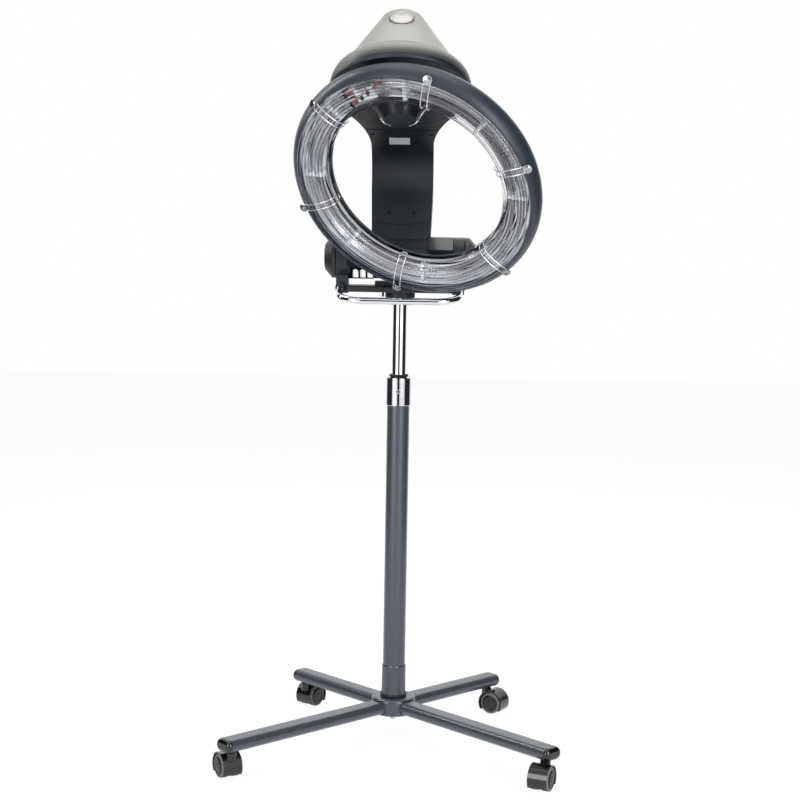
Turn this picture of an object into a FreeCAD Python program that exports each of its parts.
import FreeCAD
import Part
import Sketcher
import math
import os
import re

from FreeCAD import Placement, Rotation, Vector

# Free-standing hair processor: a heater ring that orbits under a cone-shaped head, carried by a
# C-shaped arm that tilts in a cradle, on a telescopic mast over a four-legged stand on casters.
# Frame: +Z up, +Y to the rear, origin on the floor under the pole's axis. Millimetres, degrees.

doc = FreeCAD.newDocument("HairProcessor")
sheet = doc.addObject("Spreadsheet::Sheet", "Sizes")
aliases = {}


def size(alias, value, note):
    """Writes one driving dimension to the sheet."""
    row = len(aliases) + 1
    sheet.set(f"A{row}", note)
    sheet.set(f"B{row}", str(value))
    sheet.setAlias(f"B{row}", alias)
    aliases[alias] = row


# Clearances
size("running_gap", 0.05, "radial gap of a shaft in its bore")
size("body_gap", 0.4, "gap between bodies that move past each other")
size("seat_gap", 0.2, "gap of a piece in its recess")

# Legs and hub
size("leg_width", 38, "flattened oval leg, across")
size("leg_height", 22.5, "flattened oval leg, upright")
size("leg_wall", 2, "leg tube wall")
size("leg_axis_height", 60, "leg axis above the floor")
size("front_leg_reach", 391, "pole axis to the tip of a front leg")
size("rear_leg_reach", 266, "pole axis to the tip of a rear leg")
size("leg_cap_length", 9, "end cap outside the tube")
size("leg_root", 26, "pole axis to the inner end of a leg tube")
size("hub_diameter", 81, "hub body")
size("hub_bottom", 45, "hub underside above the floor")
size("hub_top", 76, "hub top above the floor")
size("hub_round", 6, "rounded rims of the hub")
size("mouth_relief", 1.2, "shadow gap round a leg at the hub's wall")
size("mouth_depth", 4, "depth of the shadow gap")

# Casters
size("wheel_diameter", 40, "caster wheel")
size("wheel_width", 14, "one wheel of the pair")
size("wheel_spacing", 20.5, "between the middles of the two wheels")
size("tread_thickness", 4, "soft tread on the wheel")
size("axle_diameter", 6, "caster axle")
size("caster_trail", 16, "swivel axis to the axle")
size("caster_inset", 20, "leg tip to the swivel axis")
size("hood_wall", 2.5, "hood wall")
size("hood_bottom", 7, "floor up to the hood's lower edge")
size("stem_diameter", 11, "caster stem")
size("stem_length", 23, "stem above the hood")

# Pole, collar and mast
size("pole_diameter", 40, "slate pole")
size("pole_wall", 1.5, "slate pole wall")
size("pole_foot", 51, "pole's lower end above the floor")
size("pole_top", 629, "pole's upper end above the floor")
size("sleeve_diameter", 43, "sleeve at the pole's foot")
size("sleeve_top", 134, "sleeve's upper end above the floor")
size("collar_diameter", 45, "chrome collar")
size("collar_bottom", 607, "collar's lower end above the floor")
size("collar_top", 659, "collar's upper end above the floor")
size("mast_diameter", 25, "chrome mast")
size("mast_wall", 1.6, "chrome mast wall")
size("mast_length", 560, "chrome mast")
size("glide_length", 40, "glide at the mast's foot")

# Cradle
size("plate_bottom", 809, "cradle plate's underside above the floor")
size("plate_thickness", 10.5, "cradle plate")
size("plate_depth", 90, "cradle plate, front to rear")
size("flange_diameter", 53, "swivel flange on the mast")
size("flange_thickness", 10.5, "swivel flange on the mast")
size("swivel_pin_length", 30, "pin of the cradle inside the mast")
size("hinge_height", 869, "tilt axis above the floor")
size("barrel_diameter", 75, "tilt barrel, across its flats")
size("knuckle_half_width", 46.5, "half width of the arm's knuckle")
size("bracket_inner", 92, "middle to the inner face of a bracket")
size("bracket_thickness", 21, "bracket")
size("bracket_tab_width", 46, "bracket's lower tab, front to rear")
size("shaft_diameter", 16, "tilt shaft")
size("end_cap_length", 21, "end cap and knob outside a bracket")
size("end_cap_face", 42, "flat end of the cap and the knob")
size("slot_width", 9.5, "slot in the barrel's comb")
size("slot_pitch", 12.8, "from one slot to the next")
size("slot_height", 15, "slot in the barrel's comb")
size("handle_bar", 12, "bow handle's bar")
size("handle_half_span", 104.5, "middle to the handle's side bars")
size("handle_reach", 106, "tilt axis to the front bar")
size("handle_level", 7, "ends of the handle above the plate's underside")
size("handle_plug", 12, "handle's end inside a tab")
size("handle_drop", 19, "front bar below the ends of the handle")
size("handle_corner", 40, "bend of the handle")

# Arm and head, in the arm's own frame: origin on the tilt axis, its +Z along the arm
size("tilt_back", 25, "lean of the arm at rest")
size("spin_rest", 32.6, "turn of the ring at rest, from the front to the left")
size("axis_reach", 280, "tilt axis to the axis of the head")
size("arm_front", 28, "tilt axis to the arm's front face")
size("arm_back", 30, "tilt axis to the arm's rear face")
size("arm_half_width", 54.5, "half width of the arm")
size("arm_foot_half_width", 51, "half width of the arm at its foot")
size("pan_underside", 172, "tilt axis up to the underside of the head pan")
size("pan_top", 180, "tilt axis up to the rim of the head pan")
size("neck_top", 212, "tilt axis up to the top of the neck")
size("neck_begin", 68, "axis of the head back to the front of the neck's top")
size("front_bend", 60, "bend under the neck")
size("rear_bend", 118, "bend over the neck")
size("head_radius", 116.7, "rim of the head")
size("cover_thickness", 3, "front cover of the arm")
size("cover_foot", 52, "tilt axis up to the foot of the front cover")
size("cone_wall", 2.5, "wall of the cone cover")
size("brim_height", 34.6, "rim up to the brim's crease")
size("crease_radius", 94.3, "crease between the brim and the cone")
size("cone_height", 130, "rim up to the cone's shoulder")
size("shoulder_radius", 38, "cone's shoulder")
size("crown_height", 137, "rim up to the crown of the cone")
size("button_diameter", 40, "domed button")
size("button_height", 103, "rim up to the middle of the button")

# Drive inside the head
size("bearing_bore", 16, "spindle bearing, inside")
size("bearing_diameter", 30, "spindle bearing, outside")
size("motor_plate_height", 202, "tilt axis up to the motor plate")
size("gearbox_radius", 32, "gearbox of the drive")
size("gearbox_height", 24, "gearbox of the drive")
size("motor_radius", 22, "motor of the drive")
size("motor_height", 38, "motor of the drive")

# Rotor and ring
size("bowl_cap_radius", 27, "lower rim of the bowl")
size("bowl_bottom", 122, "tilt axis up to the bowl's lower rim")
size("bowl_top", 169, "tilt axis up to the bowl's upper rim")
size("bowl_top_radius", 56, "upper rim of the bowl")
size("bowl_wall", 2.5, "wall of the bowl")
size("ring_offset", 52, "axis of the head to the ring's centre")
size("ring_height", 32.6, "tilt axis up to the ring's centre")
size("ring_tilt", 34.5, "slope of the ring")
size("ring_radius", 215, "widest circle of the ring")
size("hole_radius", 150.5, "narrowest circle of the ring")
size("lip_radius", 204.5, "front lip of the shell")
size("ring_front", 22, "middle of the ring to the front lip")
size("ring_back", 22, "middle of the ring to its back")
size("shell_wall", 2.2, "wall of the shell")
size("tube_radius", 5.5, "heater tube")
size("outer_tube_circle", 184, "middle line of the outer heater tube")
size("inner_tube_circle", 168, "middle line of the inner heater tube")
size("tube_level", 5, "heater tubes in front of the ring's middle")
size("tube_gap_angle", 24, "gap between the ends of a heater tube")
size("holder_count", 8, "tube holders")
size("guard_count", 6, "pairs of guard wires")
size("guard_phase", -5, "turn of the first pair of guard wires")
size("guard_spacing", 11, "between the two wires of a pair")
size("guard_wire", 1.6, "guard wire")
size("guard_slope", 14, "slope of a guard at its crown over the cover")
size("guard_reach", 5, "lip of the shell out to a guard's screw")
size("guard_neck", 4.4, "neck of a guard's screw")
size("guard_head", 12, "head of a guard's screw")
size("guard_washer", 15, "washer under that head")
size("cover_ribs", 7, "ribs of the clear cover")
doc.recompute()

WORD = re.compile(r"[a-z_]+")


def formula(text):
    """Turns a formula in plain names into one that FreeCAD binds to the sheet."""
    return WORD.sub(lambda word: "Sizes." + word.group() if word.group() in aliases else word.group(),
                    str(text))


def number(text):
    return float(sheet.evalExpression(formula(text)))


def point(pair):
    return Vector(number(pair[0]), number(pair[1]), 0)


def bind(thing, **formulas):
    """Binds properties of an object to formulas over the sheet."""
    for name, text in formulas.items():
        thing.setExpression(name, formula(text))
    return thing


# ---------------------------------------------------------------- sketches and bodies

def fix(sketch, kind, geometry, end, text):
    """Holds one coordinate of a sketch point at the value of a formula."""
    index = sketch.addConstraint(Sketcher.Constraint(kind, -1, 1, geometry, end, number(text)))
    sketch.setExpression(f"Constraints[{index}]", formula(text))


def fix_point(sketch, geometry, end, pair):
    fix(sketch, "DistanceX", geometry, end, pair[0])
    fix(sketch, "DistanceY", geometry, end, pair[1])


def fix_centre(sketch, geometry, first, middle, last):
    """Holds an arc's centre across its chord, from the formulas of three points on the arc."""
    points = [tuple(f"({text})" for text in pair) for pair in (first, middle, last)]
    (ax, ay), (bx, by), (cx, cy) = points
    span = f"2 * ({ax} * ({by} - {cy}) + {bx} * ({cy} - {ay}) + {cx} * ({ay} - {by}))"
    a_square = f"({ax} * {ax} + {ay} * {ay})"
    b_square = f"({bx} * {bx} + {by} * {by})"
    c_square = f"({cx} * {cx} + {cy} * {cy})"
    chord = point(last) - point(first)
    if abs(chord.x) < abs(chord.y):
        top = f"{a_square} * ({by} - {cy}) + {b_square} * ({cy} - {ay}) + {c_square} * ({ay} - {by})"
        fix(sketch, "DistanceX", geometry, 3, f"({top}) / ({span})")
    else:
        top = f"{a_square} * ({cx} - {bx}) + {b_square} * ({ax} - {cx}) + {c_square} * ({bx} - {ax})"
        fix(sketch, "DistanceY", geometry, 3, f"({top}) / ({span})")


def draw_outline(sketch, start, steps):
    """Draws a closed outline. A step is an end point, or (middle, end) of an arc."""
    here = start
    ends = []
    for step in steps:
        if isinstance(step[0], tuple):
            middle, there = step
            begin, halfway, finish = point(here), point(middle), point(there)
            turns_left = (halfway - begin).cross(finish - halfway).z > 0
            if turns_left:
                index = sketch.addGeometry(Part.ArcOfCircle(begin, halfway, finish))
                first, last = 1, 2
            else:
                index = sketch.addGeometry(Part.ArcOfCircle(finish, halfway, begin))
                first, last = 2, 1
            fix_centre(sketch, index, here, middle, there)
        else:
            there = step
            index = sketch.addGeometry(Part.LineSegment(point(here), point(there)))
            first, last = 1, 2
        ends.append((index, first, last, here))
        here = there
    for place, (index, first, last, corner) in enumerate(ends):
        before = ends[place - 1]
        sketch.addConstraint(Sketcher.Constraint("Coincident", before[0], before[2], index, first))
        fix_point(sketch, index, first, corner)


def draw_circle(sketch, centre, radius):
    index = sketch.addGeometry(Part.Circle(point(centre), Vector(0, 0, 1), number(radius)))
    fix_point(sketch, index, 3, centre)
    held = sketch.addConstraint(Sketcher.Constraint("Radius", index, number(radius)))
    sketch.setExpression(f"Constraints[{held}]", formula(radius))


def new_sketch(body, plane, label):
    sketch = body.newObject("Sketcher::SketchObject", label)
    origin_plane = [item for item in body.Origin.OriginFeatures if item.Role == plane][0]
    sketch.AttachmentSupport = [(origin_plane, "")]
    sketch.MapMode = "FlatFace"
    return sketch


def turned(label, *outlines):
    """A body turned about its own Z axis. Outlines are (radius, height) pairs."""
    body = doc.addObject("PartDesign::Body", label)
    sketch = new_sketch(body, "XZ_Plane", label + "_profile")
    for start, steps in outlines:
        draw_outline(sketch, start, steps)
    revolution = body.newObject("PartDesign::Revolution", label + "_turned")
    revolution.Profile = sketch
    revolution.ReferenceAxis = (sketch, ["V_Axis"])
    revolution.Angle = 360
    return body


def tube(label, outer, inner, bottom, top):
    """A turned body with a straight bore."""
    return turned(label, ((inner, bottom), [(outer, bottom), (outer, top), (inner, top), (inner, bottom)]))


def disc(label, radius, bottom, top):
    return turned(label, (("0", bottom), [(radius, bottom), (radius, top), ("0", top), ("0", bottom)]))


def padded(label, plane, length, *outlines, circles=(), midplane=False):
    """A body padded from outlines on one of its own origin planes."""
    body = doc.addObject("PartDesign::Body", label)
    sketch = new_sketch(body, plane, label + "_profile")
    for start, steps in outlines:
        draw_outline(sketch, start, steps)
    for centre, radius in circles:
        draw_circle(sketch, centre, radius)
    pad = body.newObject("PartDesign::Pad", label + "_pad")
    pad.Profile = sketch
    pad.Midplane = midplane
    bind(pad, Length=length)
    return body


# ---------------------------------------------------------------- primitives and booleans

def at(x, y, z, turn=None):
    """A placement from three formulas and a rotation."""
    return Placement(Vector(number(x), number(y), number(z)), turn or Rotation())


ALONG_X = Rotation(Vector(0, 1, 0), 90)
ALONG_Y = Rotation(Vector(1, 0, 0), -90)
ALONG_MINUS_Y = Rotation(Vector(1, 0, 0), 90)


def cylinder(label, radius, height, place=Placement()):
    solid = bind(doc.addObject("Part::Cylinder", label), Radius=radius, Height=height)
    solid.Placement = place
    return solid


def box(label, length, width, height, place=Placement()):
    """A box that starts at its placement's corner."""
    solid = bind(doc.addObject("Part::Box", label), Length=length, Width=width, Height=height)
    solid.Placement = place
    return solid


def cone(label, lower, upper, height, place=Placement()):
    solid = bind(doc.addObject("Part::Cone", label), Radius1=lower, Radius2=upper, Height=height)
    solid.Placement = place
    return solid


def torus(label, circle, radius, place=Placement(), sweep="360"):
    solid = bind(doc.addObject("Part::Torus", label), Radius1=circle, Radius2=radius, Angle3=sweep)
    solid.Placement = place
    return solid


def fuse(label, *pieces):
    union = doc.addObject("Part::MultiFuse", label)
    union.Shapes = list(pieces)
    return union


def common(label, *pieces):
    shared = doc.addObject("Part::MultiCommon", label)
    shared.Shapes = list(pieces)
    return shared


def cut(label, base, *tools):
    """The base less every tool."""
    result = doc.addObject("Part::Cut", label)
    result.Base = base
    result.Tool = tools[0] if len(tools) == 1 else fuse(label + "_tools", *tools)
    return result


def group(label, *pieces):
    """Separate solids that share one node."""
    together = doc.addObject("Part::Compound", label)
    together.Links = list(pieces)
    return together


def rounded(label, base, radius, chosen):
    """Fillets the edges that the chosen function picks."""
    doc.recompute()
    fillet = doc.addObject("Part::Fillet", label)
    fillet.Base = base
    value = number(radius)
    picked = [place for place, edge in enumerate(base.Shape.Edges, 1) if chosen(edge)]
    fillet.Edges = [(place, value, value) for place in picked]
    return fillet


# ---------------------------------------------------------------- nodes

nodes = []


def node(thing, label, placement=None):
    """Names a finished sub-part and puts it in its place."""
    thing.Label = label
    if placement is not None:
        thing.Placement = placement.multiply(thing.Placement)
    nodes.append(thing)
    return thing


def arm_frame():
    """From the arm's own frame, upright on the tilt axis, to the leaning arm."""
    return at("0", "0", "hinge_height", Rotation(Vector(1, 0, 0), -number("tilt_back")))


def rotor_frame():
    """From the rotor's own frame, its hanger to the front, to the arm at rest."""
    spin = Rotation(Vector(0, 0, 1), -number("spin_rest"))
    return arm_frame().multiply(at("0", "-axis_reach", "0", spin))


def ring_frame():
    """From the ring's own frame, its open face along +Z and its hanger along +Y."""
    slope = Rotation(Vector(1, 0, 0), 180 - number("ring_tilt"))
    return rotor_frame().multiply(at("0", "ring_offset", "ring_height", slope))


LEGS = {
    "front_left": (225, "front_leg_reach"),
    "front_right": (315, "front_leg_reach"),
    "rear_left": (135, "rear_leg_reach"),
    "rear_right": (45, "rear_leg_reach"),
}


def along_leg(heading):
    """From +X outwards to a leg's own direction, at the height of the leg's axis."""
    return at("0", "0", "leg_axis_height", Rotation(Vector(0, 0, 1), heading))


def oval_outline(width, height, margin):
    """A flattened oval: half-round sides and flat top and bottom."""
    flat = f"({width} - {height}) / 2"
    side = f"{width} / 2 + {margin}"
    up = f"{height} / 2 + {margin}"
    start = (f"-({flat})", f"-({up})")
    steps = [
        (flat, f"-({up})"),
        ((side, "0"), (flat, up)),
        (f"-({flat})", up),
        ((f"-({side})", "0"), start),
    ]
    return start, steps


def oval_bar(label, margin, begin, end):
    """An oval bar along +X between two distances from the pole axis."""
    bar = padded(label, "YZ_Plane", f"{end} - ({begin})", oval_outline("leg_width", "leg_height", margin))
    bar.Placement = at(begin, "0", "0")
    return bar


# ---------------------------------------------------------------- stand

def build_leg(name, heading, reach):
    end = f"{reach} - leg_cap_length"
    outer = oval_bar(f"{name}_outer", "0", "leg_root", end)
    inner = oval_bar(f"{name}_bore", "-leg_wall", "leg_root - 1", f"{end} + 1")
    hole = cylinder(f"{name}_stem_hole", "stem_diameter / 2 + 1.5", "leg_height",
                    at(f"{reach} - caster_inset", "0", "-leg_height"))
    node(cut(name, outer, inner, hole), name, along_leg(heading))


def build_leg_cap(name, heading, reach):
    """A rounded cap whose plug runs into the tube and holds the caster's stem."""
    end = f"{reach} - leg_cap_length"
    rim = oval_bar(f"{name}_rim", "0", end, reach)
    rim_round = rounded(f"{name}_rounded", rim, "leg_cap_length - 1",
                        lambda edge: edge.CenterOfMass.x > number(reach) - 0.01)
    plug = oval_bar(f"{name}_plug", "-leg_wall - 0.15", f"{reach} - caster_inset - 14", f"{end} + 2")
    collar = cylinder(f"{name}_collar", "stem_diameter / 2 + 1.2", "leg_height / 2 + 2.5",
                      at(f"{reach} - caster_inset", "0", "-leg_height / 2 - 2.5"))
    bore = cylinder(f"{name}_bore", "stem_diameter / 2 + running_gap", "leg_height",
                    at(f"{reach} - caster_inset", "0", "-leg_height / 2 - 3"))
    cap = cut(name, fuse(f"{name}_body", rim_round, plug, collar), bore)
    cap.Placement = along_leg(heading)
    return cap


def build_hub():
    """A drum round the pole, split at the legs' axis, with the four legs through its wall."""
    body = cylinder("hub_body", "hub_diameter / 2", "hub_top - hub_bottom", at("0", "0", "hub_bottom"))
    drum = rounded("hub_rounded", body, "hub_round", lambda edge: edge.Curve.TypeId == "Part::GeomCircle")
    mouths = []
    for name, (heading, reach) in LEGS.items():
        mouth = oval_bar(f"mouth_{name}", "running_gap", "leg_root - 0.3", "hub_diameter")
        relief = oval_bar(f"relief_{name}", "mouth_relief", "hub_diameter / 2 - mouth_depth", "hub_diameter")
        for piece in (mouth, relief):
            piece.Placement = along_leg(heading).multiply(piece.Placement)
            mouths.append(piece)
    pole_hole = cylinder("hub_pole_hole", "pole_diameter / 2 + running_gap", "hub_top",
                         at("0", "0", "pole_foot"))
    hollow = cut("hub_hollow", drum, pole_hole, *mouths)
    seam = "leg_axis_height"
    upper_half = box("hub_upper_half", "300", "300", "100", at("-150", "-150", f"{seam} + 0.1"))
    lower_half = box("hub_lower_half", "300", "300", "100", at("-150", "-150", f"{seam} - 100"))
    node(common("hub_upper_shell", hollow, upper_half), "hub_upper_shell")
    node(common("hub_lower_shell", hollow, lower_half), "hub_lower_shell")


def build_stand_screws():
    """Four hub screws from below and the collar's set screw."""
    screws = []
    for name, (heading, reach) in LEGS.items():
        head = disc(f"hub_screw_{name}", "5", "0", "3.5")
        turn = Rotation(Vector(0, 0, 1), heading + 45)
        head.Placement = Placement(Vector(), turn).multiply(at("30", "0", "hub_bottom - 3.5"))
        screws.append(head)
    socket_screw = turned("collar_set_screw", (("1.6", "0"), [("4", "0"), ("4", "2.6"), ("3.4", "3.2"),
                                                             ("1.6", "3.2"), ("1.6", "0")]))
    socket_screw.Placement = at("0", "-(collar_diameter / 2)", "(collar_bottom + collar_top) / 2",
                                ALONG_MINUS_Y)
    node(group("stand_screws", socket_screw, *screws), "stand_screws")


def build_pole():
    node(tube("lower_pole", "pole_diameter / 2", "pole_diameter / 2 - pole_wall", "pole_foot", "pole_top"),
         "lower_pole")
    node(turned("pole_foot_sleeve", (("pole_diameter / 2 + running_gap", "hub_top"), [
        ("sleeve_diameter / 2", "hub_top"),
        (("sleeve_diameter / 2 + 1.2", "hub_top + 2.2"), ("sleeve_diameter / 2", "hub_top + 4.4")),
        ("sleeve_diameter / 2", "sleeve_top - 2"),
        ("sleeve_diameter / 2 - 1", "sleeve_top"),
        ("pole_diameter / 2 + running_gap", "sleeve_top"),
        ("pole_diameter / 2 + running_gap", "hub_top"),
    ])), "pole_foot_sleeve")
    node(turned("pole_collar", (("pole_diameter / 2 + running_gap", "collar_bottom"), [
        ("collar_diameter / 2 - 0.8", "collar_bottom"),
        ("collar_diameter / 2", "collar_bottom + 0.8"),
        ("collar_diameter / 2", "collar_top - 3"),
        ("collar_diameter / 2 - 3", "collar_top"),
        ("mast_diameter / 2 + 2", "collar_top"),
        ("mast_diameter / 2 + 2", "collar_top - 4"),
        ("pole_diameter / 2 + running_gap", "collar_top - 4"),
        ("pole_diameter / 2 + running_gap", "collar_bottom"),
    ])), "pole_collar")
    node(turned("collar_bush", (("mast_diameter / 2 + running_gap", "pole_top - 30"), [
        ("pole_diameter / 2 - pole_wall", "pole_top - 30"),
        ("pole_diameter / 2 - pole_wall", "pole_top"),
        ("pole_diameter / 2", "pole_top"),
        ("pole_diameter / 2", "collar_top - 4"),
        ("mast_diameter / 2 + 2", "collar_top - 4"),
        ("mast_diameter / 2 + 2", "collar_top + 1"),
        ("mast_diameter / 2 + running_gap", "collar_top + 1"),
        ("mast_diameter / 2 + running_gap", "pole_top - 30"),
    ])), "collar_bush")


def build_mast():
    top = "plate_bottom - 0.3"
    bottom = f"{top} - mast_length"
    node(tube("mast_tube", "mast_diameter / 2", "mast_diameter / 2 - mast_wall", bottom, top), "mast_tube")
    glide_radius = "pole_diameter / 2 - pole_wall - running_gap"
    node(turned("mast_foot_glide", (("0", f"{bottom} - 6"), [
        (f"{glide_radius} - 3", f"{bottom} - 6"),
        (glide_radius, f"{bottom} - 3"),
        (glide_radius, f"{bottom} + glide_length"),
        ("mast_diameter / 2", f"{bottom} + glide_length"),
        ("mast_diameter / 2", bottom),
        ("0", bottom),
        ("0", f"{bottom} - 6"),
    ])), "mast_foot_glide")
    node(turned("swivel_flange", (("mast_diameter / 2", f"{top} - flange_thickness"), [
        ("flange_diameter / 2 - 1.5", f"{top} - flange_thickness"),
        ("flange_diameter / 2", f"{top} - flange_thickness + 1.5"),
        ("flange_diameter / 2", f"{top} - 1"),
        ("flange_diameter / 2 - 1", top),
        ("mast_diameter / 2", top),
        ("mast_diameter / 2", f"{top} - flange_thickness"),
    ])), "swivel_flange")


# ---------------------------------------------------------------- casters

CASTER_HEADINGS = {"front_left": 121, "front_right": -114, "rear_left": 53, "rear_right": -28}


def caster_frame(name):
    """Under the leg's end: +X trails, the origin is on the floor below the swivel axis."""
    heading, reach = LEGS[name]
    out = number(f"{reach} - caster_inset")
    corner = Vector(out * math.cos(math.radians(heading)), out * math.sin(math.radians(heading)), 0)
    return Placement(corner, Rotation(Vector(0, 0, 1), CASTER_HEADINGS[name]))


def build_caster(name):
    """A twin-wheel caster: hood with its stem, two treads, two discs on one axle."""
    frame = caster_frame(name)
    radius = "wheel_diameter / 2"
    half = "(wheel_spacing + wheel_width) / 2"
    hood_radius = f"{radius} + 1.5 + hood_wall"
    axle_place = at("caster_trail", f"-({half})", radius, ALONG_Y)

    shell = cylinder(f"hood_shell_{name}", hood_radius, f"2 * ({half})", axle_place)
    wells = []
    for side, offset in (("a", f"-({half}) - 0.5"), ("b", "(wheel_spacing - wheel_width) / 2 - 0.8")):
        well = cylinder(f"hood_well_{side}_{name}", f"{radius} + 1.5", "wheel_width + 1.3",
                        at("caster_trail", offset, radius, ALONG_Y))
        wells.append(well)
    under = box(f"hood_under_{name}", "120", "80", "60", at("-40", "-40", "hood_bottom - 60"))
    web = cylinder(f"hood_web_{name}", "wheel_diameter / 2 - 7", "wheel_spacing - wheel_width - 1",
                   at("caster_trail", "-(wheel_spacing - wheel_width - 1) / 2", radius, ALONG_Y))
    axle_hole = cylinder(f"hood_axle_hole_{name}", "axle_diameter / 2 + running_gap", "80",
                         at("caster_trail", "-40", radius, ALONG_Y))
    hood_top = f"{radius} + {hood_radius}"
    leg_underside = "leg_axis_height - leg_height / 2 - 2.5"
    neck = cylinder(f"hood_neck_{name}", "9", f"{leg_underside} - body_gap - ({hood_top} - 12)",
                    at("0", "0", f"{hood_top} - 12"))
    neck_well = cylinder(f"hood_neck_well_{name}", f"{radius} + 1.5", "80",
                         at("caster_trail", "-40", radius, ALONG_Y))
    stem = cylinder(f"hood_stem_{name}", "stem_diameter / 2", "stem_length",
                    at("0", "0", f"{leg_underside} - body_gap - 2"))
    fender = cut(f"hood_fender_{name}", shell, under, *wells)
    core = cut(f"hood_core_{name}", fuse(f"hood_joined_{name}", fender, web,
                                         cut(f"hood_neck_cut_{name}", neck, neck_well), stem), axle_hole)
    node(core, f"caster_hood_{name}", frame)

    treads = []
    discs = []
    for side, middle in (("a", "-wheel_spacing / 2"), ("b", "wheel_spacing / 2")):
        tread = turned(f"tread_{side}_{name}", ((f"{radius} - tread_thickness", "-wheel_width / 2"), [
            (f"{radius} - 3", "-wheel_width / 2"),
            ((f"{radius} - 0.9", "-wheel_width / 2 + 0.9"), (radius, "-wheel_width / 2 + 3")),
            (radius, "wheel_width / 2 - 3"),
            ((f"{radius} - 0.9", "wheel_width / 2 - 0.9"), (f"{radius} - 3", "wheel_width / 2")),
            (f"{radius} - tread_thickness", "wheel_width / 2"),
            (f"{radius} - tread_thickness", "-wheel_width / 2"),
        ]))
        tread.Placement = at("caster_trail", middle, radius, ALONG_Y)
        treads.append(tread)
        outward = ALONG_Y if side == "b" else ALONG_MINUS_Y
        plate = turned(f"disc_{side}_{name}", (("axle_diameter / 2", "-wheel_width / 2"), [
            (f"{radius} - tread_thickness", "-wheel_width / 2"),
            (f"{radius} - tread_thickness", "wheel_width / 2 - 0.5"),
            (f"{radius} - tread_thickness - 3", "wheel_width / 2 + 0.8"),
            ("axle_diameter / 2", "wheel_width / 2 + 0.8"),
            ("axle_diameter / 2", "-wheel_width / 2"),
        ]))
        plate.Placement = at("caster_trail", middle, radius, outward)
        discs.append(plate)
    axle = cylinder(f"axle_{name}", "axle_diameter / 2", f"2 * ({half}) + 1.2",
                    at("caster_trail", f"-({half}) - 0.6", radius, ALONG_Y))
    node(group(f"caster_treads_{name}", *treads), f"caster_treads_{name}", frame)
    node(group(f"caster_discs_{name}", axle, *discs), f"caster_discs_{name}", frame)


# ---------------------------------------------------------------- cradle

def octagon(label, begin, end):
    """An octagonal bar along X, a flat on top, centred on the tilt axis."""
    flat = "barrel_diameter / 2"
    corner = f"{flat} * 0.41421"
    corners = [(corner, flat), (f"-({corner})", flat), (f"-({flat})", corner), (f"-({flat})", f"-({corner})"),
               (f"-({corner})", f"-({flat})"), (corner, f"-({flat})"), (flat, f"-({corner})"),
               (flat, corner)]
    bar = padded(label, "YZ_Plane", f"{end} - ({begin})", (corners[0], corners[1:] + corners[:1]))
    bar.Placement = at(begin, "0", "hinge_height")
    return bar


def build_cradle_plate():
    slab = box("plate_slab", "2 * bracket_inner", "plate_depth", "plate_thickness",
               at("-bracket_inner", "-plate_depth / 2", "plate_bottom"))
    edges = rounded("plate_rounded", slab, "3",
                    lambda edge: abs(abs(edge.CenterOfMass.y) - number("plate_depth / 2")) < 0.01
                    and abs(edge.CenterOfMass.x) < 0.01)
    boss_top = "hinge_height - barrel_diameter / 2 - 4"
    plate_top = "plate_bottom + plate_thickness"
    boss = box("plate_boss", "2 * knuckle_half_width - 4", "44", f"{boss_top} - ({plate_top}) + 2",
               at("-knuckle_half_width + 2", "-22", f"{plate_top} - 2"))
    pin = cylinder("plate_swivel_pin", "mast_diameter / 2 - mast_wall - running_gap", "swivel_pin_length + 2",
                   at("0", "0", "plate_bottom - swivel_pin_length"))
    stop = cylinder("plate_stop_pin", "2", "10", at("-flange_diameter / 2 - 4", "0", "plate_bottom - 9"))
    node(fuse("cradle_plate", edges, boss, pin, stop), "cradle_plate")


def build_brackets():
    """Round cheek over a straight tab, one on each side."""
    foot = "plate_bottom - 3 - hinge_height"
    cheek = "barrel_diameter / 2"
    side = "bracket_tab_width / 2"
    shoulder = "-20"
    outline = ((f"-({side})", foot), [
        (side, foot),
        (side, "-32"),
        (cheek, shoulder),
        (cheek, "0"),
        (("0", cheek), (f"-({cheek})", "0")),
        (f"-({cheek})", shoulder),
        (f"-({side})", "-32"),
        (f"-({side})", foot),
    ])
    for label, begin in (("cradle_bracket_left", "-bracket_inner - bracket_thickness"),
                         ("cradle_bracket_right", "bracket_inner")):
        body = padded(label + "_blank", "YZ_Plane", "bracket_thickness", outline,
                      circles=[(("0", "0"), "shaft_diameter / 2 + running_gap")])
        body.Placement = at(begin, "0", "hinge_height")
        edge_round = rounded(label + "_rounded", body, "1.5",
                             lambda edge: edge.Curve.TypeId == "Part::GeomCircle"
                             and edge.Curve.Radius > number("shaft_diameter"))
        x = "-handle_half_span" if begin.startswith("-") else "handle_half_span"
        socket = cylinder(label + "_handle_socket", "handle_bar / 2 + running_gap", "handle_plug + 20",
                          at(x, "-bracket_tab_width / 2 + handle_plug", "plate_bottom + handle_level",
                             ALONG_MINUS_Y))
        node(cut(label, edge_round, socket), label)


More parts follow.
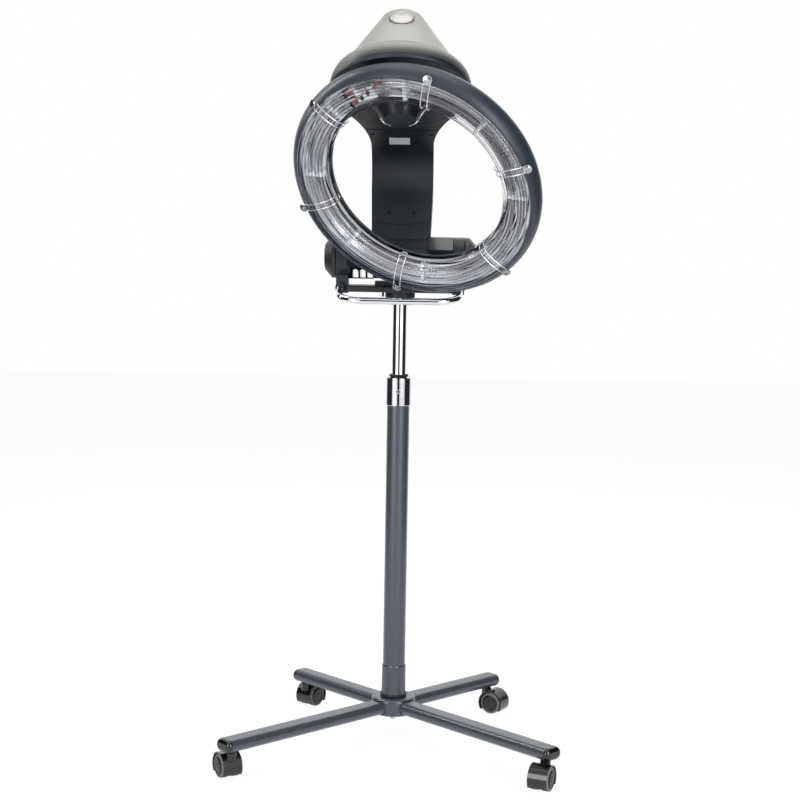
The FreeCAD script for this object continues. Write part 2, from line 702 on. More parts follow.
def build_barrels():
    """Two hollow octagonal barrels beside the arm's knuckle, open underneath like a comb."""
    barrels = []
    for side, begin, end in (("left", "-bracket_inner", "-knuckle_half_width - body_gap"),
                             ("right", "knuckle_half_width + body_gap", "bracket_inner")):
        blank = octagon(f"barrel_{side}_blank", begin, end)
        bore = cylinder(f"barrel_{side}_bore", "shaft_diameter / 2 + running_gap", "200",
                        at("-100", "0", "hinge_height", ALONG_X))
        tools = [bore]
        outwards = -1 if side == "left" else 1
        foot = "hinge_height - barrel_diameter / 2"
        for place in range(3):
            middle = f"{outwards} * (bracket_inner - 13.5 - {place} * slot_pitch)"
            slot = box(f"slot_{side}_{place}", "slot_width", "100", "slot_height - slot_width / 2",
                       at(f"{middle} - slot_width / 2", "-50", f"{foot} + 2"))
            arch = cylinder(f"arch_{side}_{place}", "slot_width / 2", "100",
                            at(middle, "-50", f"{foot} + 2 + slot_height - slot_width / 2", ALONG_Y))
            tools += [slot, arch]
        barrels.append(cut(f"barrel_{side}", blank, *tools))
    node(group("tilt_barrels", *barrels), "tilt_barrels")


def build_barrel_trims():
    """A chrome loop on the front of each barrel."""
    trims = []
    for side, middle, level in (("left", "-(bracket_inner + knuckle_half_width) / 2", "-8"),
                                ("right", "(bracket_inner + knuckle_half_width) / 2", "8")):
        half = "16"
        width = "4.6"
        wire = "0.9"

        def loop(label, extra):
            up = f"{width} + {extra}"
            start = (f"-({half})", f"-({up})")
            return padded(label, "XZ_Plane", "1.6", (start, [
                (half, f"-({up})"),
                ((f"{half} + {up}", "0"), (half, up)),
                (f"-({half})", up),
                ((f"-({half}) - ({up})", "0"), start),
            ]))

        rim = cut(f"trim_{side}", loop(f"trim_outer_{side}", wire), loop(f"trim_inner_{side}", "0"))
        rim.Placement = at(middle, "-barrel_diameter / 2", f"hinge_height + {level}")
        trims.append(rim)
    node(group("barrel_trims", *trims), "barrel_trims")


def build_tilt_shaft():
    length = "2 * (bracket_inner + bracket_thickness)"
    node(cylinder("tilt_shaft", "shaft_diameter / 2", length,
                  at("-bracket_inner - bracket_thickness", "0", "hinge_height", ALONG_X)), "tilt_shaft")


def end_knob(label, bore):
    """A turned knob with a bevelled end, its axis along +Z."""
    outline = (("0", "end_cap_length"), [
        ("end_cap_face / 2", "end_cap_length"),
        ("end_cap_face / 2 + 2", "end_cap_length - 0.8"),
        ("barrel_diameter / 2 - 1", "8.5"),
        ("barrel_diameter / 2", "7"),
        ("barrel_diameter / 2", "body_gap + 1"),
        ("barrel_diameter / 2 - 1", "body_gap"),
        (bore, "body_gap"),
        (bore, "8"),
        ("0", "8"),
        ("0", "end_cap_length"),
    ])
    return turned(label, outline)


def build_end_pieces():
    reach = "bracket_inner + bracket_thickness"
    cap = end_knob("left_cap_blank", "6")
    cap.Placement = at(f"-({reach})", "0", "hinge_height", Rotation(Vector(0, 1, 0), -90))
    cap_spigot = cylinder("left_cap_spigot", "6", "8 + body_gap",
                          at(f"-({reach}) - 8", "0", "hinge_height", ALONG_X))
    node(fuse("left_end_cap", cap, cut("left_spigot_cut", cap_spigot, box(
        "left_spigot_trim", "20", "40", "40", at(f"-({reach})", "-20", "hinge_height - 20")))), "left_end_cap")
    knob = end_knob("tilt_knob_blank", "6")
    knob.Placement = at(reach, "0", "hinge_height", ALONG_X)
    node(knob, "tilt_knob")


def build_handle():
    """A chrome bow bent from one bar, its ends plugged into the brackets' tabs."""
    level = number("plate_bottom + handle_level")
    half = number("handle_half_span")
    reach = number("handle_reach")
    corner = number("handle_corner")
    plug_y = -number("bracket_tab_width / 2 - handle_plug") - 0.3
    knee_y = -number("bracket_tab_width / 2") - 6
    slope = number("handle_drop") / (reach + knee_y)

    def on_bow(x, y):
        return Vector(x, y, level + slope * (y - knee_y))

    def bend(side):
        turn = 1 - math.cos(math.pi / 4)
        begin = on_bow(side * half, -reach + corner)
        halfway = on_bow(side * (half - corner * turn), -reach + corner * turn)
        finish = on_bow(side * (half - corner), -reach)
        return Part.Arc(begin, halfway, finish) if side < 0 else Part.Arc(finish, halfway, begin)

    def straight(begin, finish):
        return Part.LineSegment(begin, finish)

    path = Part.Wire([piece.toShape() for piece in (
        straight(on_bow(-half, knee_y), on_bow(-half, -reach + corner)),
        bend(-1),
        straight(on_bow(-half + corner, -reach), on_bow(half - corner, -reach)),
        bend(1),
        straight(on_bow(half, -reach + corner), on_bow(half, knee_y)),
    )])
    radius = number("handle_bar / 2")
    section = Part.Circle(on_bow(-half, knee_y), Vector(0, 1, slope), radius)
    bow = path.makePipeShell([Part.Wire(section.toShape())], True, False)
    ends = []
    for x in (-half, half):
        ends.append(Part.makeCylinder(radius, plug_y - knee_y, Vector(x, knee_y, level), Vector(0, 1, 0)))
        ends.append(Part.makeSphere(radius, Vector(x, knee_y, level)))
    feature = doc.addObject("Part::Feature", "handle_bar_shape")
    feature.Shape = bow.fuse(ends).removeSplitter()
    node(feature, "bow_handle")


def build_handle_collars():
    collars = []
    for name, x in (("left", "-handle_half_span"), ("right", "handle_half_span")):
        collar = turned(f"handle_collar_{name}", (("handle_bar / 2 + running_gap", "0"), [
            ("handle_bar / 2 + 3.5", "0"),
            ("handle_bar / 2 + 3.5", "2"),
            ("handle_bar / 2 + 2.3", "3.2"),
            ("handle_bar / 2 + running_gap", "3.2"),
            ("handle_bar / 2 + running_gap", "0"),
        ]))
        collar.Placement = at(x, "-bracket_tab_width / 2", "plate_bottom + handle_level", ALONG_MINUS_Y)
        collars.append(collar)
    node(group("handle_collars", *collars), "handle_collars")


# ---------------------------------------------------------------- arm and head

def arm_plan(label, inset):
    """Seen along the arm's Z: the round head and the neck that flares into it."""
    half = f"arm_half_width - {inset}"
    circle = f"head_radius - {inset}"
    join_x = f"({circle}) * 0.812"
    join_y = f"-axis_reach + ({circle}) * 0.5836"
    flare_y = "-axis_reach + 128"
    back = "arm_back + 40"
    start = (f"-({half})", back)
    return padded(label, "XY_Plane", "neck_top + 120", (start, [
        (f"-({half})", "-axis_reach + 178"),
        ((f"-({half}) - 9.5", flare_y), (f"-({join_x})", join_y)),
        (("0", f"-axis_reach - ({circle})"), (join_x, join_y)),
        ((f"{half} + 9.5", flare_y), (half, "-axis_reach + 178")),
        (half, back),
        start,
    ]))


def arm_side(label, width):
    """Seen from the side: upright arm, bend, neck and head pan."""
    front = "-arm_front"
    bend_y = "-arm_front - front_bend"
    bend_z = "pan_underside - front_bend"
    rear_y = "arm_back - rear_bend"
    rear_z = "neck_top - rear_bend"
    tip = "-axis_reach - head_radius - 1"
    start = (front, "18")
    return padded(label, "YZ_Plane", width, (start, [
        (front, bend_z),
        ((f"{bend_y} + front_bend * 0.70711", f"{bend_z} + front_bend * 0.70711"),
         (bend_y, "pan_underside")),
        (tip, "pan_underside"),
        (tip, "pan_top"),
        ("-axis_reach + neck_begin", "pan_top"),
        ("-axis_reach + neck_begin", "neck_top"),
        (rear_y, "neck_top"),
        ((f"{rear_y} + rear_bend * 0.70711", f"{rear_z} + rear_bend * 0.70711"), ("arm_back", rear_z)),
        ("arm_back", "18"),
        start,
    ]), midplane=True)


def cover_strip(label, extra):
    """The front cover's strip along the arm's face and under the neck."""
    outer = f"0.8 + {extra}"
    inner = f"cover_thickness - 0.8 + {extra}"
    face_out = f"-arm_front - ({outer})"
    face_in = f"-arm_front + ({inner})"
    bend_y = "-arm_front - front_bend"
    bend_z = "pan_underside - front_bend"
    out_radius = f"front_bend - ({outer})"
    in_radius = f"front_bend + ({inner})"
    end = f"-axis_reach + 128 - {extra}"
    diagonal = "0.70711"
    start = (face_out, f"cover_foot - 12 - {extra}")
    return padded(label, "YZ_Plane", "2 * arm_half_width + 40", (start, [
        (face_out, bend_z),
        ((f"{bend_y} + ({out_radius}) * {diagonal}", f"{bend_z} + ({out_radius}) * {diagonal}"),
         (bend_y, f"pan_underside - ({outer})")),
        (end, f"pan_underside - ({outer})"),
        (end, f"pan_underside + {inner}"),
        (bend_y, f"pan_underside + {inner}"),
        ((f"{bend_y} + ({in_radius}) * {diagonal}", f"{bend_z} + ({in_radius}) * {diagonal}"),
         (face_in, bend_z)),
        (face_in, f"cover_foot - 12 - {extra}"),
        start,
    ]), midplane=True)


def cover_blank(label, extra):
    """The strip trimmed to the arm's outline, its foot a shallow smile."""
    plan = arm_plan(f"{label}_plan", f"(4 - {extra})")
    face = padded(f"{label}_face", "XZ_Plane", "500", (("-60", "cover_foot + 8"), [
        (("0", f"cover_foot - {extra}"), ("60", "cover_foot + 8")),
        ("60", "pan_underside - 10"),
        ("90", "pan_underside + 20"),
        ("-90", "pan_underside + 20"),
        ("-60", "pan_underside - 10"),
        ("-60", "cover_foot + 8"),
    ]), midplane=True)
    return common(label, cover_strip(f"{label}_strip", extra), plan, face)


def build_arm():
    side = arm_side("arm_side_blank", "2 * head_radius + 10")
    plan = arm_plan("arm_plan_blank", "0")
    face = padded("arm_face_blank", "XZ_Plane", "900", (("-arm_foot_half_width", "15"), [
        ("arm_foot_half_width", "15"),
        ("arm_half_width", "120"),
        ("arm_half_width", "pan_underside - 45"),
        ("head_radius + 5", "pan_underside - 25"),
        ("head_radius + 5", "neck_top + 5"),
        ("-head_radius - 5", "neck_top + 5"),
        ("-head_radius - 5", "pan_underside - 25"),
        ("-arm_half_width", "pan_underside - 45"),
        ("-arm_half_width", "120"),
        ("-arm_foot_half_width", "15"),
    ]), midplane=True)
    blank = common("arm_blank", side, plan, face)
    head_room = turned("arm_head_room", cone_profile("-seat_gap", "pan_top"))
    head_room.Placement = at("0", "-axis_reach", "0")
    foot_room = []
    for name, begin in (("left", "-200"), ("right", "knuckle_half_width")):
        foot_room.append(cylinder(f"arm_foot_room_{name}", "barrel_diameter / 2 * 1.0824 + 1.6",
                                  "200 - knuckle_half_width", at(begin, "0", "0", ALONG_X)))
    knuckle = cylinder("arm_knuckle", "barrel_diameter / 2 - 0.5", "2 * knuckle_half_width",
                       at("-knuckle_half_width", "0", "0", ALONG_X))
    shaft_bore = cylinder("arm_shaft_bore", "shaft_diameter / 2 + running_gap", "300",
                          at("-150", "0", "0", ALONG_X))
    bearing_bore = cylinder("arm_bearing_bore", "bearing_diameter / 2", "80",
                            at("0", "-axis_reach", "pan_underside - 10"))
    recess = cover_blank("arm_cover_recess", "seat_gap")
    gland_bore = cylinder("arm_gland_bore", "6", "20", at("0", "arm_back - 12", "62", ALONG_Y))
    trimmed = cut("arm_trimmed", blank, head_room, *foot_room)
    joined = fuse("arm_joined", trimmed, knuckle)
    node(cut("arm_rear_shell", joined, shaft_bore, bearing_bore, recess, gland_bore),
         "arm_rear_shell", arm_frame())

    holes = []
    for name, (x, y, z, turn) in COVER_SCREWS.items():
        holes.append(cylinder(f"cover_hole_{name}", "3.2", "20",
                              at(x, y, z, turn).multiply(at("0", "0", "-10"))))
    node(cut("arm_front_cover", cover_blank("arm_cover_blank", "0"), *holes), "arm_front_cover", arm_frame())


COVER_SCREWS = {
    "lower_left": ("-22", "-arm_front", "73", ALONG_MINUS_Y),
    "lower_right": ("22", "-arm_front", "73", ALONG_MINUS_Y),
    "upper_left": ("-51", "-axis_reach + 143", "pan_underside", Rotation(Vector(1, 0, 0), 180)),
    "upper_right": ("51", "-axis_reach + 143", "pan_underside", Rotation(Vector(1, 0, 0), 180)),
}


def build_cover_screws():
    """Screws sunk deep in the cover's holes; each axis points out of the cover."""
    screws = []
    for name, (x, y, z, turn) in COVER_SCREWS.items():
        screw = turned(f"cover_screw_{name}", (("1.1", "-cover_thickness + 1.2"), [
            ("3.1", "-cover_thickness + 1.2"),
            ("3.1", "-cover_thickness + 1.6"),
            ("2.4", "-cover_thickness + 2"),
            ("1.1", "-cover_thickness + 2"),
            ("1.1", "-cover_thickness + 1.2"),
        ]))
        screw.Placement = at(x, y, z, turn)
        screws.append(screw)
    node(group("arm_cover_screws", *screws), "arm_cover_screws", arm_frame())


def cone_angle():
    run = number("crease_radius - shoulder_radius")
    return math.degrees(math.atan2(run, number("cone_height - brim_height")))


def button_frame():
    """On the front of the cone, +Z out of its surface."""
    level = number("button_height")
    slope = number("(crease_radius - shoulder_radius) / (cone_height - brim_height)")
    radius = number("crease_radius") - slope * (level - number("brim_height"))
    spot = Vector(0, -number("axis_reach") - radius, number("pan_top") + level)
    return Placement(spot, Rotation(Vector(1, 0, 0), 90 - cone_angle()))


def cone_profile(shrink, foot):
    """The cone cover's outline, made smaller all round by its wall."""
    less = f"({shrink})"
    rim = f"head_radius - {less}"
    crease = f"crease_radius - {less}"
    crease_z = f"pan_top + brim_height - {less} * 0.5"
    brim_z = f"pan_top + brim_height * 0.66 - {less} * 0.3"
    shoulder = f"shoulder_radius - {less}"
    shoulder_z = f"pan_top + cone_height - 6 - {less} * 0.4"
    crown_z = f"pan_top + crown_height - {less}"
    start = ("0", foot)
    return start, [
        (rim, foot),
        ((f"{crease} + (head_radius - crease_radius) * 0.68", brim_z), (crease, crease_z)),
        (shoulder, shoulder_z),
        ((f"{shoulder} - 5", f"{shoulder_z} + 7"), (f"{shoulder} - 14", f"{crown_z} - 2")),
        ("0", crown_z),
        start,
    ]


def build_cone():
    """Cone cover with the button's cup moulded into its front."""
    outer = turned("cone_outer", cone_profile("0", "pan_top + 0.2"))
    inner = turned("cone_inner", cone_profile("cone_wall", "pan_top"))
    for body in (outer, inner):
        body.Placement = at("0", "-axis_reach", "0")
    frame = button_frame()
    cup = cylinder("cone_cup", "button_diameter / 2 + 2.6", "18", frame.multiply(at("0", "0", "-17")))
    guide = cylinder("cone_guide", "7", "12", frame.multiply(at("0", "0", "-26")))
    hole = cylinder("cone_button_hole", "button_diameter / 2 + 0.35", "40",
                    frame.multiply(at("0", "0", "-15")))
    guide_bore = cylinder("cone_guide_bore", "4 + running_gap", "40", frame.multiply(at("0", "0", "-36")))
    wall = cut("cone_wall_only", outer, inner)
    whole = fuse("cone_whole", wall, common("cone_cup_trimmed", cup, outer), guide)
    node(cut("head_cone", whole, hole, guide_bore), "head_cone", arm_frame())


def build_button():
    body = turned("cone_button_body", (("0", "-8"), [
        ("button_diameter / 2", "-8"),
        ("button_diameter / 2", "0.5"),
        (("button_diameter / 2 * 0.72", "4.6"), ("0.5", "6.5")),
        ("0", "6.5"),
        ("0", "-8"),
    ]))
    body.Placement = button_frame()
    stem = cylinder("cone_button_stem", "4", "19", button_frame().multiply(at("0", "0", "-26")))
    node(fuse("cone_button", body, stem), "cone_button", arm_frame())


def build_drive():
    """Gear motor on its plate, spindle bearing and slip ring, about the axis of the head."""
    shaft_bore = "bearing_bore / 2 + running_gap"
    bearing = tube("spindle_bearing_body", "bearing_diameter / 2", shaft_bore,
                   "pan_underside + 0.5", "pan_top")
    slip = tube("slip_ring_body", "24", shaft_bore, "pan_top + 0.1", "pan_top + 14")
    plate = turned("motor_plate_body", (("22", "motor_plate_height"), [
        ("66", "motor_plate_height"),
        ("66", "motor_plate_height + 3"),
        ("22", "motor_plate_height + 3"),
        ("22", "motor_plate_height"),
    ]))
    posts = []
    for turn in range(3):
        post = cylinder(f"motor_post_{turn}", "5", "motor_plate_height - pan_top + 1",
                        Placement(Vector(), Rotation(Vector(0, 0, 1), 60 + 120 * turn)).multiply(
                            at("56", "0", "pan_top")))
        posts.append(post)
    plate_joined = fuse("motor_plate", plate, *posts)
    gearbox = turned("gear_motor_body", ((shaft_bore, "motor_plate_height + 3"), [
        ("gearbox_radius", "motor_plate_height + 3"),
        ("gearbox_radius", "motor_plate_height + 3 + gearbox_height"),
        ("motor_radius", "motor_plate_height + 3 + gearbox_height"),
        ("motor_radius", "motor_plate_height + 3 + gearbox_height + motor_height"),
        ("0", "motor_plate_height + 3 + gearbox_height + motor_height"),
        ("0", "motor_plate_height + 18"),
        (shaft_bore, "motor_plate_height + 18"),
        (shaft_bore, "motor_plate_height + 3"),
    ]))
    for thing, label in ((bearing, "spindle_bearing"), (slip, "slip_ring"), (plate_joined, "motor_plate"),
                         (gearbox, "gear_motor")):
        thing.Placement = at("0", "-axis_reach", "0")
        node(thing, label, arm_frame())


def build_gland():
    body = turned("cord_gland_body", (("3.5", "-10"), [
        ("6", "-10"),
        ("6", "0"),
        ("9", "0"),
        ("9", "3"),
        ("7", "4"),
        ("6", "16"),
        ("3.5", "16"),
        ("3.5", "-10"),
    ]))
    body.Placement = at("0", "arm_back", "62", ALONG_Y)
    node(body, "cord_gland", arm_frame())


# ---------------------------------------------------------------- rotor

def build_rotor_core():
    """Bowl, cap and spindle about the axis of the head."""
    wall = "bowl_wall"
    bowl = turned("rotor_bowl_body", (("bowl_cap_radius - 4", "bowl_bottom"), [
        ("bowl_cap_radius", "bowl_bottom"),
        ("bowl_top_radius", "bowl_top - 2"),
        ("bowl_top_radius - 1", "bowl_top"),
        ("bearing_bore / 2", "bowl_top"),
        ("bearing_bore / 2", f"bowl_top - {wall} * 2"),
        ("bowl_top_radius - 8", f"bowl_top - {wall} * 2"),
        (f"bowl_cap_radius - {wall} - 0.5", f"bowl_bottom + {wall} + 1"),
        ("bowl_cap_radius - 4", "bowl_bottom"),
    ]))
    node(bowl, "rotor_bowl", rotor_frame())
    cap = turned("bowl_cap_body", (("0", "bowl_bottom - 1.8"), [
        (("14", "bowl_bottom - 1.2"), ("bowl_cap_radius - 0.8", "bowl_bottom - 0.1")),
        ("0", "bowl_bottom - 0.1"),
        ("0", "bowl_bottom - 1.8"),
    ]))
    node(cap, "bowl_cap", rotor_frame())
    shaft = disc("rotor_shaft_body", "bearing_bore / 2", "bowl_bottom + 12", "motor_plate_height + 17")
    node(shaft, "rotor_shaft", rotor_frame())


def shell_profile():
    """The back shell: lip, bulged outside, flat back and inner edge, with its wall."""
    lip = "ring_front"
    back = "-ring_back"
    wall = "shell_wall"
    start = ("lip_radius", lip)
    return start, [
        (("ring_radius - 3.5", "ring_front * 0.62"), ("ring_radius", "0")),
        (("ring_radius - 3.5", "-ring_back * 0.62"), ("lip_radius - 1", back)),
        ("hole_radius + 16", back),
        (("hole_radius + 7", "-ring_back + 2.5"), ("hole_radius + 2.5", "-ring_back + 10")),
        (f"hole_radius + 2.5 + {wall}", "-ring_back + 10.6"),
        (("hole_radius + 8.4", f"-ring_back + 2.5 + {wall} * 0.8"),
         ("hole_radius + 16", f"{back} + {wall}")),
        ("lip_radius - 1.6", f"{back} + {wall}"),
        ((f"ring_radius - 3.5 - {wall}", "-ring_back * 0.58"), (f"ring_radius - {wall}", "0")),
        ((f"ring_radius - 3.5 - {wall}", "ring_front * 0.58"), ("lip_radius - 0.4", f"{lip} - {wall}")),
        ("lip_radius - 2.5", f"{lip} - {wall}"),
        ("lip_radius - 2.5", lip),
        start,
    ]


def reflector_profile():
    """A polished channel behind the heater tubes."""
    thick = "0.8"
    back = "-ring_back + shell_wall + 0.3"
    low = "hole_radius + 16"
    high = "lip_radius - 9"
    start = (low, back)
    return start, [
        (high, back),
        ((f"{high} + 7.5", f"{back} + 6"), (f"{high} + 11", "-1")),
        (f"{high} + 11 - {thick}", "-1"),
        ((f"{high} + 7.5 - {thick}", f"{back} + 6 + {thick}"), (high, f"{back} + {thick}")),
        (low, f"{back} + {thick}"),
        ((f"{low} - 7", f"{back} + 4 + {thick}"), (f"{low} - 9 + {thick}", f"{back} + 13")),
        (f"{low} - 9", f"{back} + 13"),
        ((f"{low} - 7 - {thick}", f"{back} + 4"), start),
    ]


def build_ring_shells():
    """The slate shell, drilled for the guards' screws, and the reflector in it."""
    seam_aside = Placement(Vector(0, 0, -13), Rotation(Vector(0, 0, 1), 90))
    drills = [cylinder(f"guard_drill_{place}", "guard_neck / 2 + running_gap", "16",
                       guard_screw_place(place).multiply(seam_aside))
              for place in range(int(number("guard_count")))]
    node(cut("ring_shell", turned("ring_shell_blank", shell_profile()), *drills), "ring_shell", ring_frame())
    node(turned("ring_reflector", reflector_profile()), "ring_reflector", ring_frame())


def ring_cover_profile():
    """Clear cover: stepped concentric ribs over the front, then down the inner side."""
    outer = number("lip_radius - 2.7")
    front = number("ring_front")
    inner = number("hole_radius")
    edge = -number("ring_back") + 11
    crown = inner + 14
    wall = 1.6
    ribs = int(number("cover_ribs"))
    rib = (outer - crown) / ribs
    points = [(outer, front - 2.2), (outer, front)]
    for place in range(ribs):
        start = outer - place * rib
        rise = 2.2 * math.sin(math.pi * (place + 0.5) / ribs)
        points += [(start - 0.25 * rib, front + rise + 0.9), (start - 0.8 * rib, front + rise)]
    points += [(crown, front - 0.5), (inner + 6, front - 5), (inner + 1.5, front - 13), (inner, front - 22),
               (inner + 0.5, edge), (inner + 0.5 + wall, edge), (inner + wall, front - 22),
               (inner + 1.3 + wall, front - 13.5), (inner + 7, front - 6.6), (crown, front - 2.4)]
    return points


def build_ring_cover():
    corners = [Vector(radius, 0, level) for radius, level in ring_cover_profile()]
    wire = Part.makePolygon(corners + corners[:1])
    feature = doc.addObject("Part::Feature", "ring_cover_shape")
    feature.Shape = Part.Face(wire).revolve(Vector(), Vector(0, 0, 1), 360)
    node(feature, "ring_cover", ring_frame())


def build_heater_tubes():
    """Two quartz tubes, each nearly a full ring; the gap is at the hanger."""
    gap = "tube_gap_angle"
    turn = Rotation(Vector(0, 0, 1), 90 + number(f"{gap} / 2"))
    place = at("0", "0", "tube_level", turn)
    tubes = [torus("heater_outer", "outer_tube_circle", "tube_radius", place, f"360 - {gap}"),
             torus("heater_inner", "inner_tube_circle", "tube_radius", place, f"360 - {gap}")]
    node(group("heater_tubes", *tubes), "heater_tubes", ring_frame())


def build_tube_holders():
    """Clear brackets that clasp both tubes and stand on the reflector."""
    holders = []
    count = int(number("holder_count"))
    floor_level = "-ring_back + shell_wall + 1.2"
    for place in range(count):
        turn = Placement(Vector(), Rotation(Vector(0, 0, 1), 90 + 360 / count * (place + 0.5)))
        base_top = "tube_level - tube_radius - 2"
        base = box(f"holder_base_{place}", "outer_tube_circle - inner_tube_circle + 9", "5",
                   f"{base_top} - ({floor_level}) + 1", at("inner_tube_circle - 1", "-2.5", floor_level))
        clasp = box(f"holder_clasp_{place}", "outer_tube_circle - inner_tube_circle + 18", "5",
                    "2 * tube_radius + 5", at("inner_tube_circle - 9", "-2.5", base_top))
        post = fuse(f"holder_post_{place}", base, clasp)
        grips = [cylinder(f"holder_grip_{place}_{name}", "tube_radius + 0.15", "30",
                          at(circle, "-15", "tube_level", ALONG_Y))
                 for name, circle in (("outer", "outer_tube_circle"), ("inner", "inner_tube_circle"))]
        holder = cut(f"holder_{place}", post, *grips)
        holder.Placement = turn
        holders.append(holder)
    node(group("tube_holders", *holders), "tube_holders", ring_frame())


def tangent_arc(start, heading, finish):
    """The arc that leaves a point along a heading and ends at another point."""
    chord = finish - start
    half_turn = chord.getAngle(heading) / 2
    side = heading.cross(chord)
    rise = Rotation(side, math.degrees(half_turn)).multVec(heading)
    middle = start + rise * (chord.Length / (2 * math.cos(half_turn)))
    return Part.Arc(start, middle, finish)


def guard_spans():
    """A guard's two spans from its crown: into the hole, and out over the lip to its screw."""
    slope = math.radians(number("guard_slope"))
    clear = number("guard_wire / 2 + 0.4")
    front = number("ring_front")
    crown = Vector(number("hole_radius + 15"), 0, front + 1.6 + clear)
    inward = Vector(-math.cos(slope), 0, -math.sin(slope))
    hole_end = Vector(number("hole_radius - 0.4") - clear, 0, front - 17)
    lip_end = Vector(number("lip_radius + guard_reach"), 0, front - 1.6 + clear)
    spans = []
    for heading, end in ((inward, hole_end), (inward * -1, lip_end)):
        chord = (end - crown).normalize()
        spans.append((crown, heading, end, chord * (2 * chord.dot(heading)) - heading))
    return spans


def guard_turn(place):
    turn = number(f"guard_phase + 360 / guard_count * {place}")
    return Placement(Vector(), Rotation(Vector(0, 0, 1), turn))


def guard_screw_place(place):
    """On the slope of the lip, +Z out of the shell, in the bend of a guard."""
    crown, heading, end, last = guard_spans()[1]
    dip = Rotation(Vector(0, 1, 0), math.degrees(math.atan2(-last.z, last.x)))
    return guard_turn(place).multiply(Placement(end, dip))


def round_wire(arc, start, heading):
    """A round wire along an arc."""
    path = Part.Wire(arc.toShape())
    section = Part.Wire(Part.Circle(start, heading, number("guard_wire / 2")).toShape())
    return path.makePipeShell([section], True, False)


def guard_loop():
    """One guard: a wire bent into a long loop, round its screw at one end, in the hole at the other."""
    half = Vector(0, number("guard_spacing / 2"), 0)
    runs = []
    for crown, heading, end, last in guard_spans():
        for side in (half, half * -1):
            runs.append(round_wire(tangent_arc(crown + side, heading, end + side), crown + side, heading))
        bend = Part.Arc(end + half, end + last * half.Length, end - half)
        runs.append(round_wire(bend, end + half, last))
    return runs[0].fuse(runs[1:])


def build_guards():
    """Wire guards over the clear cover, each held by one screw in the slope of the lip."""
    loop = guard_loop()
    wires = []
    screws = []
    seat = "guard_wire / 2 + 0.2"
    for place in range(int(number("guard_count"))):
        wire = loop.copy()
        wire.Placement = guard_turn(place)
        wires.append(wire)
        screw = turned(f"guard_screw_{place}", (("0", "-7"), [
            ("guard_neck / 2", "-7"),
            ("guard_neck / 2", seat),
            ("guard_washer / 2", seat),
            ("guard_washer / 2", f"{seat} + 0.9"),
            ("guard_head / 2", f"{seat} + 0.9"),
            (("guard_head * 0.36", f"{seat} + 3"), ("0.4", f"{seat} + 4")),
            ("0", f"{seat} + 4"),
            ("0", "-7"),
        ]))
        screw.Placement = guard_screw_place(place)
        screws.append(screw)
    feature = doc.addObject("Part::Feature", "guard_wires_shape")
    feature.Shape = Part.makeCompound(wires)
    node(feature, "guard_wires", ring_frame())
    node(group("guard_screws", *screws), "guard_screws", ring_frame())


def build_terminals():
    """Ceramic block between the tubes' ends, and the leads from it."""
    middle = "(outer_tube_circle + inner_tube_circle) / 2"
    floor_level = "-ring_back + shell_wall + 1.2"
    block = box("terminal_block", "34", "22", f"tube_level + 6 - ({floor_level})",
                at("-17", f"{middle} - 11", floor_level))
    node(block, "terminal_block", ring_frame())
    leads = []
    for name, circle in (("outer", "outer_tube_circle"), ("inner", "inner_tube_circle")):
        for side in (-1, 1):
            sweep = number("tube_gap_angle") / 2
            end = number(circle)
            edge = math.degrees(math.asin(17.2 / end))
            lead = torus(f"lead_{name}_{side + 1}", circle, "1.3", at(
                "0", "0", "tube_level", Rotation(Vector(0, 0, 1), 90 + (edge if side > 0 else -sweep))),
                f"{sweep - edge}")
            leads.append(lead)
    node(group("heater_leads", *leads), "heater_leads", ring_frame())


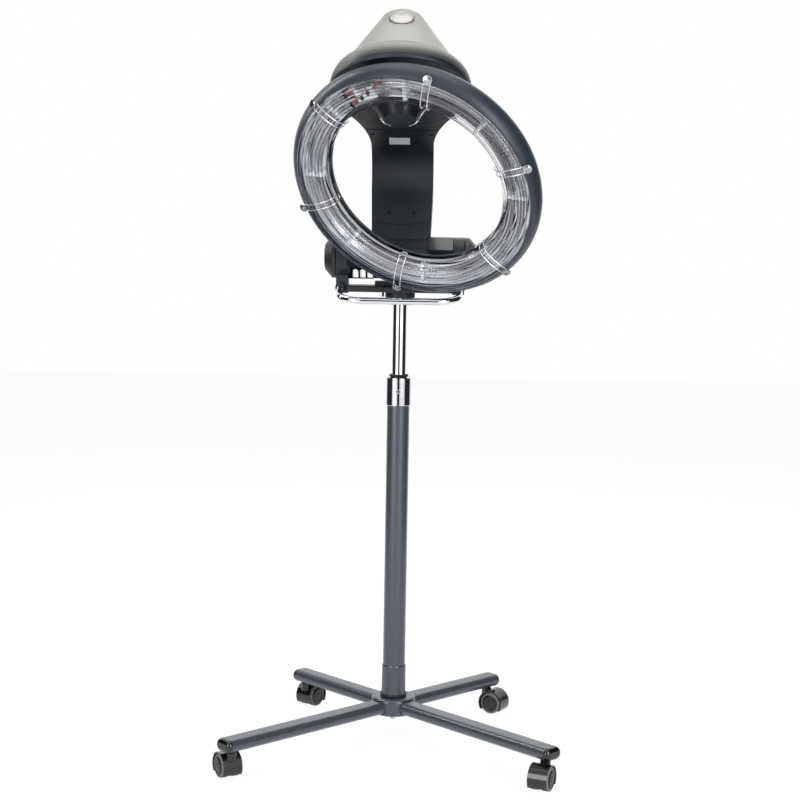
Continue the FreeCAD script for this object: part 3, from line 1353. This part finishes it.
def build_hanger():
    """A short cast arm from the bowl's side to the ring's back."""
    blank = padded("hanger_blank", "YZ_Plane", "28", (("-40", "bowl_top - 3"), [
        ("-78", "bowl_top - 2"),
        ("-97", "ring_height + 129.5"),
        ("-76", "ring_height + 113.5"),
        ("-56", "ring_height + 116.4"),
        ("-40", "ring_height + 116.1"),
        ("-40", "bowl_top - 3"),
    ]), midplane=True)
    rise = "(bowl_top - 2 - bowl_bottom)"
    run = "(bowl_top_radius - bowl_cap_radius)"
    bowl_room = cone("hanger_bowl_room", f"bowl_cap_radius - {run} / {rise} * 10 + 0.1",
                     f"bowl_top_radius + {run} / {rise} * 10 + 0.1", f"{rise} + 20",
                     at("0", "0", "bowl_bottom - 10"))
    ring_room = cylinder("hanger_ring_room", "ring_radius + 20", "ring_back + 60", Placement())
    ring_room.Placement = at("0", "ring_offset", "ring_height",
                             Rotation(Vector(1, 0, 0), 180 - number("ring_tilt"))).multiply(
                                 at("0", "0", "-ring_back - 0.05"))
    node(cut("ring_hanger", blank, bowl_room, ring_room), "ring_hanger", rotor_frame())


# ---------------------------------------------------------------- build, check and write

def build_everything():
    for name, (heading, reach) in LEGS.items():
        build_leg(f"leg_{name}", heading, reach)
    caps = [build_leg_cap(f"cap_{name}", heading, reach) for name, (heading, reach) in LEGS.items()]
    node(group("leg_end_caps", *caps), "leg_end_caps")
    build_hub()
    build_stand_screws()
    build_pole()
    build_mast()
    for name in LEGS:
        build_caster(name)
    build_cradle_plate()
    build_brackets()
    build_barrels()
    build_barrel_trims()
    build_tilt_shaft()
    build_end_pieces()
    build_handle()
    build_handle_collars()
    build_arm()
    build_cover_screws()
    build_cone()
    build_button()
    build_drive()
    build_gland()
    build_rotor_core()
    build_ring_shells()
    build_ring_cover()
    build_heater_tubes()
    build_tube_holders()
    build_guards()
    build_terminals()
    build_hanger()


def check_everything():
    for thing in doc.Objects:
        if "Invalid" in thing.State or "Error" in thing.State:
            raise RuntimeError(f"{thing.Name} failed: {thing.State}")
    for thing in nodes:
        if thing.Shape.isNull() or not thing.Shape.isValid() or not thing.Shape.Solids:
            raise RuntimeError(f"{thing.Label} has no valid solid")


build_everything()
doc.recompute()
check_everything()
os.makedirs("parts", exist_ok=True)
for thing in nodes:
    thing.Shape.exportStep(f"parts/{thing.Label}.step")
    print(thing.Label, len(thing.Shape.Solids), round(thing.Shape.Volume / 1000, 2), "cm3")
print(len(nodes), "nodes")
